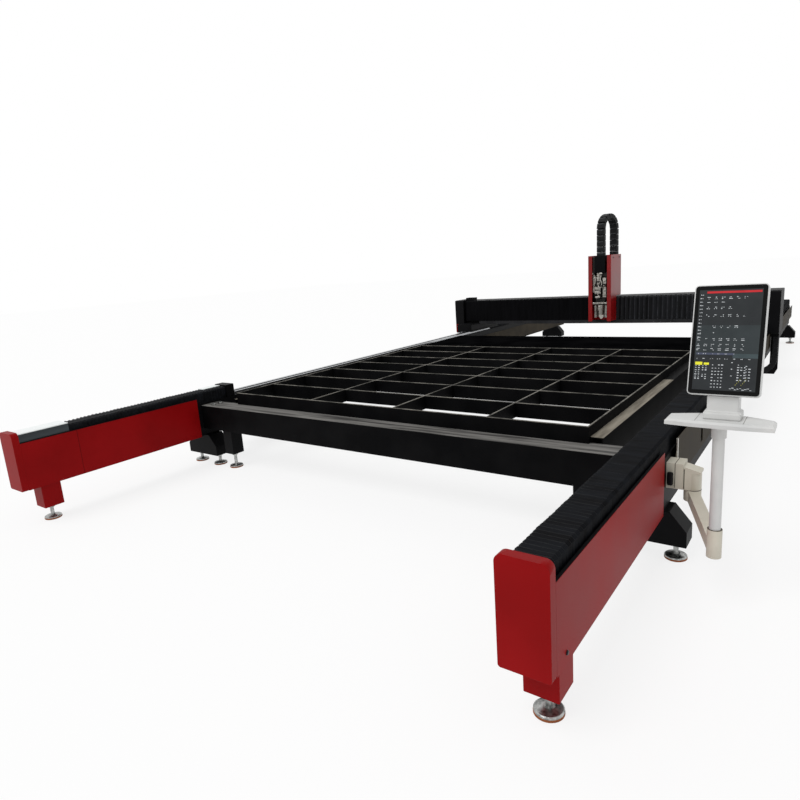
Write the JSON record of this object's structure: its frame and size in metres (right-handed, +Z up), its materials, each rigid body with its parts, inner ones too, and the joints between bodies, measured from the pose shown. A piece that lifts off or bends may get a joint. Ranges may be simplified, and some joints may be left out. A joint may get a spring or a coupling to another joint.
{
  "type": "fiber laser cutting machine",
  "caption": "Ground-rail laser cutting machine: gantry with a lifting cutting head on two long bellows-covered rails, grid bed between them, screen on a swing arm.",
  "frame": {"origin": "middle of the bounding box on the floor", "axes": "+Z up, +Y along the rails from the front caps to the rear, +X towards the console side"},
  "size_m": [4.16, 9.004, 1.8679],
  "materials": {
    "red_paint": "satin powder coat",
    "black_paint": "satin powder coat",
    "grey_panel": "matt paint",
    "bellows_cloth": "coated cloth",
    "ground_steel": "ground",
    "zinc": "zinc plated",
    "foot_rubber": "matt",
    "chain_plastic": "moulded",
    "aluminium": "machined",
    "white_paint": "satin powder coat",
    "beige_paint": "satin powder coat",
    "screen": "glossy glass"
  },
  "bodies": {
    "base": {"rail_left": "black_paint", "front_cap_left": "red_paint", "front_covers_left": "red_paint", "rail_right": "black_paint", "front_cap_right": "red_paint", "front_covers_right": "red_paint", "front_legs": "red_paint", "rear_caps": "black_paint", "rail_brackets": "black_paint", "foot_stems": "zinc", "foot_pads": "zinc", "foot_rubbers": "foot_rubber", "crossbeam_front": "black_paint", "crossbeam_rear": "black_paint", "crossbeam_legs": "black_paint", "bed_sides": "black_paint", "bed_grid": "black_paint", "bed_rear_plate": "black_paint", "rail_guides": "ground_steel", "rail_racks": "ground_steel", "panel_right": "grey_panel", "panel_left": "grey_panel", "chain_tray": "grey_panel", "rail_chain": "chain_plastic", "bellows_front_right": "bellows_cloth", "bellows_front_left": "bellows_cloth", "bellows_rear": "bellows_cloth", "end_box": "black_paint", "end_box_lid": "ground_steel", "console_bracket": "beige_paint", "console_knob": "chain_plastic"},
    "bellows_end": {"bellows_frame": "black_paint"},
    "gantry": {"gantry_beam": "black_paint", "gantry_lip": "black_paint", "saddle_left": "black_paint", "saddle_right": "black_paint", "end_cover_left": "black_paint", "end_cover_right": "black_paint", "guide_blocks": "ground_steel", "drive_motors": "black_paint", "cross_guides": "ground_steel", "cross_bellows_left": "bellows_cloth", "cross_bellows_right": "bellows_cloth", "cable_duct": "chain_plastic", "duct_brackets": "black_paint"},
    "carriage": {"carriage_plate": "aluminium", "head_housing": "red_paint", "lift_rail": "ground_steel", "head_chain": "chain_plastic"},
    "cutting_head": {"lift_plate": "aluminium", "head_top": "black_paint", "head_optics": "aluminium", "head_nozzle": "aluminium"},
    "console_arm": {"console_arm": "beige_paint"},
    "console_panel": {"console_column": "white_paint", "console_tray": "white_paint", "console_neck": "white_paint", "screen_shell": "white_paint", "screen_glass": "screen"}
  },
  "joints": [
    {"name": "gantry_travel", "type": "slide", "parent": "base", "child": "gantry", "axis": [0, 1, 0], "range_m": [-3.6, 1.2], "deforming": ["bellows_front_right", "bellows_rear", "rail_chain"]},
    {"name": "bellows_end_travel", "type": "slide", "parent": "base", "child": "bellows_end", "axis": [0, 1, 0], "range_m": [-1.05, 0], "deforming": ["bellows_front_left"]},
    {"name": "carriage_travel", "type": "slide", "parent": "gantry", "child": "carriage", "axis": [1, 0, 0], "range_m": [-1.35, 1.35], "deforming": ["cross_bellows_left", "cross_bellows_right"]},
    {"name": "head_lift", "type": "slide", "parent": "carriage", "child": "cutting_head", "axis": [0, 0, 1], "range_m": [-0.1, 0.03], "deforming": ["head_chain"]},
    {"name": "arm_swing", "type": "hinge", "parent": "base", "child": "console_arm", "pos_m": [1.745, -3.0705, 0.353], "axis": [0, 0, 1], "range_deg": [-25, 90]},
    {"name": "panel_turn", "type": "hinge", "parent": "console_arm", "child": "console_panel", "pos_m": [1.902, -3.5025, 0.365], "axis": [0, 0, 1], "range_deg": [-100, 100]}
  ]
}
